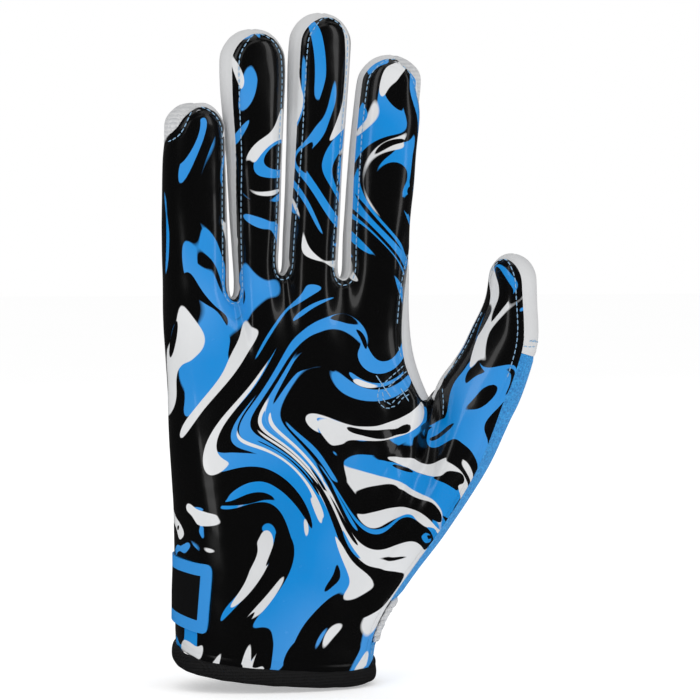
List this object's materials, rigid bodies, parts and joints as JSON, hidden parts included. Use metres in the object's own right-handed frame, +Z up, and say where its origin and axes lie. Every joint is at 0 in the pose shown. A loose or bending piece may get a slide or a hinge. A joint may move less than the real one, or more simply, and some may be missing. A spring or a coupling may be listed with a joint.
{
  "type": "football receiver glove",
  "caption": "Right-hand football receiver glove with a printed grip palm, plain back, side strips between the fingers, stretch thumb strip, shirred elastic wrist and bound cuff.",
  "frame": {"origin": "middle of the wrist opening, in the plane of its rim, where a wrist enters and holds the glove up", "axes": "+Z runs up the fingers, the palm faces -Y, and the thumb lies at +X"},
  "size_m": [0.1361, 0.0464, 0.2366],
  "materials": {
    "grip": "glossy clear silicone film over a marbled print of black, azure blue and white",
    "white_leather": "smooth matte synthetic leather",
    "white_knit": "matte fine knit",
    "blue_stretch": "matte fine stretch knit",
    "shirred_elastic": "ribbed matte elastic",
    "black_binding": "matte folded tape",
    "label": "satin patch with a black field, bare of text"
  },
  "bodies": {
    "root": {"palm_panel": "grip", "back_panel": "white_knit", "fourchette_little_ring": "white_leather", "fourchette_ring_middle": "white_leather", "fourchette_middle_index": "white_leather", "fourchette_index_thumb": "white_leather", "thumb_back": "white_leather", "thumb_side_strip": "blue_stretch", "cuff_back": "blue_stretch", "wrist_elastic": "shirred_elastic", "cuff_binding": "black_binding", "wrist_label": "label"}
  },
  "joints": []
}
